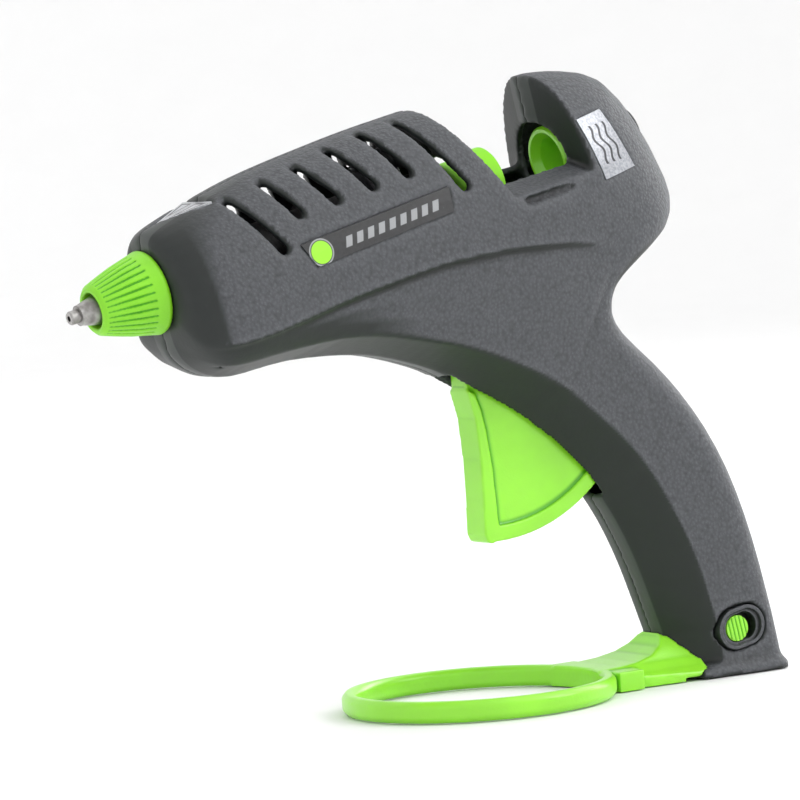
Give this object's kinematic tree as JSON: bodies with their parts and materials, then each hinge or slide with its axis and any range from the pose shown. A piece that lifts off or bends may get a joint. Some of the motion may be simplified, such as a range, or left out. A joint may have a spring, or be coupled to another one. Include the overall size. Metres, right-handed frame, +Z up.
{
  "type": "glue gun",
  "caption": "Hot-melt glue gun with a two-part casing, ribbed nozzle cover, saddle window, trigger-fed stick carriage and a pull-off ring stand.",
  "frame": {"origin": "on the table, under the middle of the whole box: half way between the nozzle tip and the rear lip of the foot, on the mid plane of the casing", "axes": "+Z up from the table, nozzle towards -X, +Y towards the right casing half"},
  "size_m": [0.2157, 0.0766, 0.1741],
  "materials": {
    "casing": "fine pebble-grained dark grey moulding",
    "lime_plastic": "glossy lime green moulding",
    "lime_silicone": "soft satin lime green silicone",
    "steel": "turned steel, lightly brushed",
    "cast_aluminium": "as-cast",
    "electrode_metal": "bright",
    "ceramic": "fired ceramic",
    "film": "amber insulating film",
    "glass_sleeve": "woven glass sleeve",
    "black_plastic": "matt black",
    "white_plastic": "matt white",
    "brown_lead": "insulated wire",
    "blue_lead": "insulated wire",
    "badge_black": "satin black inlay",
    "silver_label": "silver foil inlay"
  },
  "bodies": {
    "gun": {"left_shell": "casing", "right_shell": "casing", "housing_screws": "steel", "melt_chamber": "cast_aluminium", "nozzle": "steel", "nozzle_cover": "lime_silicone", "check_spring": "steel", "ptc_heater": "ceramic", "electrodes": "electrode_metal", "heater_wrap": "film", "thermal_fuse": "glass_sleeve", "front_bracket": "black_plastic", "rear_bracket": "black_plastic", "stick_sleeve": "lime_silicone", "sleeve_clamp": "steel", "inlet_bush": "black_plastic", "trigger_pin": "steel", "return_spring": "steel", "spring_post": "black_plastic", "switch_bezel": "casing", "switch_body": "black_plastic", "switch_terminals": "electrode_metal", "terminal_block": "white_plastic", "lead_feed": "brown_lead", "lead_live": "brown_lead", "lead_neutral": "blue_lead", "lead_link": "glass_sleeve", "cord_bush": "black_plastic", "cord_clamp": "black_plastic", "clamp_screws": "steel", "badge_left": "badge_black", "badge_right": "badge_black", "temp_label_left": "silver_label", "temp_label_right": "silver_label", "nose_mark_left": "silver_label", "nose_mark_right": "silver_label"},
    "trigger_lever": {"trigger": "lime_plastic"},
    "carriage": {"feed_carriage": "lime_plastic", "jaw_pin": "steel"},
    "jaw": {"grip_jaw": "steel"},
    "valve_ball": {"check_ball": "steel"},
    "knob": {"switch_knob": "lime_plastic"},
    "stand": {"stand_ring": "lime_plastic"}
  },
  "joints": [
    {"name": "trigger_pull", "type": "hinge", "parent": "gun", "child": "trigger_lever", "pos_m": [0.01765, 0, 0.09582], "axis": [0, -1, 0], "range_deg": [0, 16], "stiffness_Nm_per_rad": 0.35, "springref_deg": -34.38},
    {"name": "carriage_feed", "type": "slide", "parent": "gun", "child": "carriage", "axis": [-0.9803, 0, -0.1975], "range_m": [0, 0.00845], "deforming": ["return_spring"]},
    {"name": "jaw_bite", "type": "hinge", "parent": "carriage", "child": "jaw", "pos_m": [0.04339, 0, 0.13263], "axis": [0, 1, 0], "range_deg": [0, 7], "stiffness_Nm_per_rad": 0.02, "springref_deg": -14.32},
    {"name": "valve_open", "type": "slide", "parent": "gun", "child": "valve_ball", "axis": [-0.9803, 0, -0.1975], "range_m": [0, 0.0015], "stiffness_N_per_m": 60, "springref_m": -0.004, "deforming": ["check_spring"]},
    {"name": "switch_slide", "type": "slide", "parent": "gun", "child": "knob", "axis": [0.9803, 0, 0.1975], "range_m": [0, 0.0024]},
    {"name": "stand_pull_off", "type": "slide", "parent": "gun", "child": "stand", "axis": [-1, 0, 0], "range_m": [0, 0.03]}
  ],
  "couplings": [
    {"joint": "carriage_feed", "follows": "trigger_pull", "m_per_rad": 0.0302}
  ]
}
